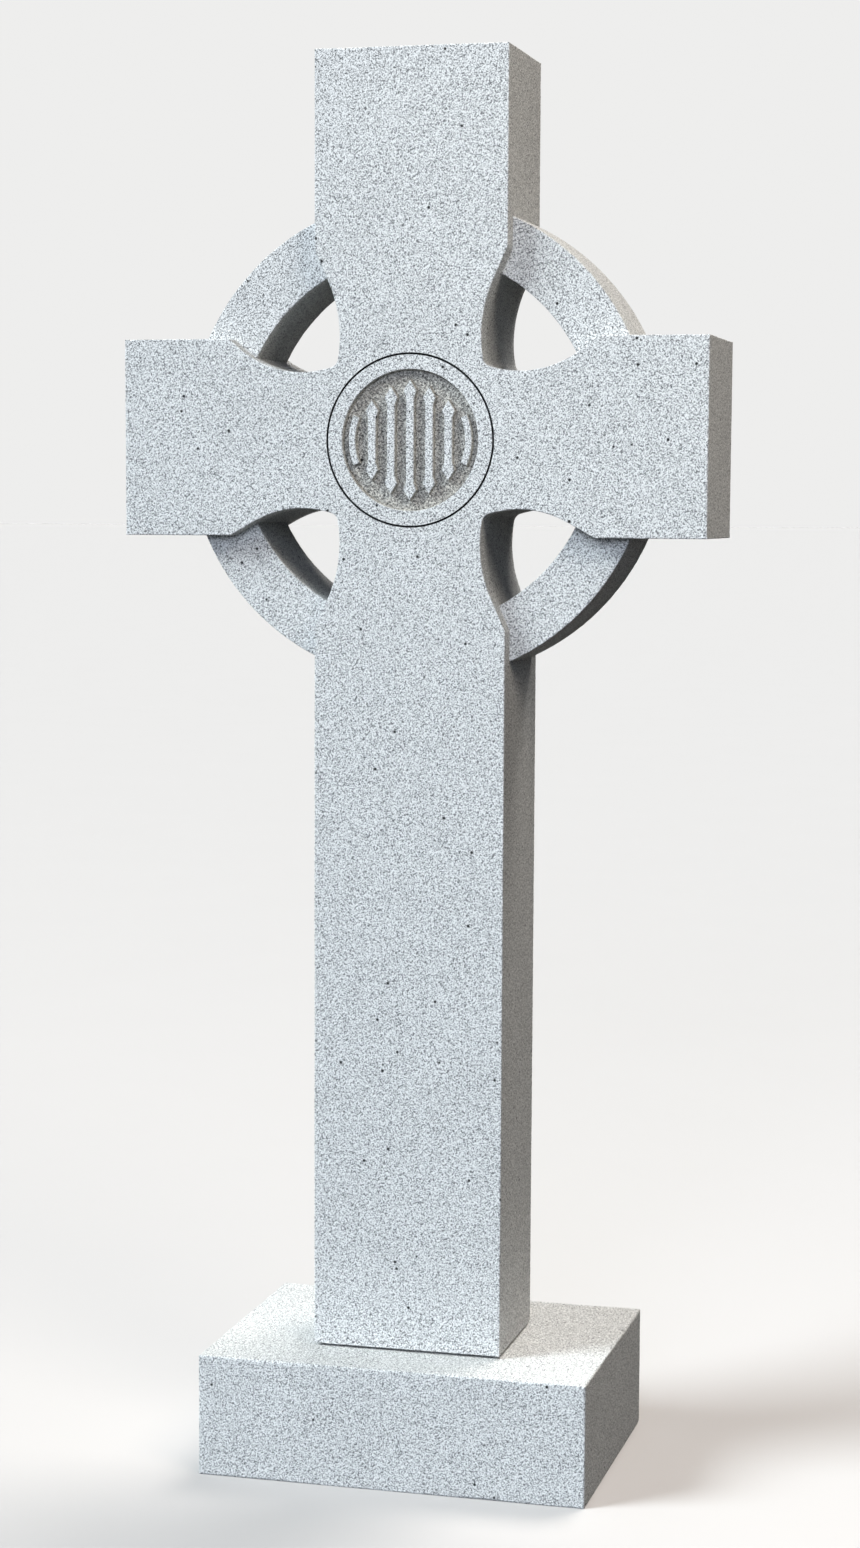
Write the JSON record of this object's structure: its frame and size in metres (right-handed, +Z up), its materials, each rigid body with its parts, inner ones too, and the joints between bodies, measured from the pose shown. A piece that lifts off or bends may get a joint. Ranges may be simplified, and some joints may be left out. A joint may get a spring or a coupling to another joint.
{
  "type": "ringed cross memorial",
  "caption": "Granite ringed cross memorial: a broad cross with waisted limbs, a pierced ring set back from its faces, a round panel of raised strokes, and a block plinth.",
  "frame": {"origin": "middle of the plinth's underside, on the ground", "axes": "+Z up along the shaft, +X to the right along the arms seen from the front, and the carved front faces -Y"},
  "size_m": [0.762, 0.374, 1.83],
  "materials": {
    "cross_granite": "fine-rubbed light grey granite with small dark and pale grains, and slightly eased arrises",
    "plinth_granite": "the same light grey granite, fine-rubbed, its arrises slightly worn"
  },
  "bodies": {
    "root": {"cross": "cross_granite", "plinth": "plinth_granite"}
  },
  "joints": []
}
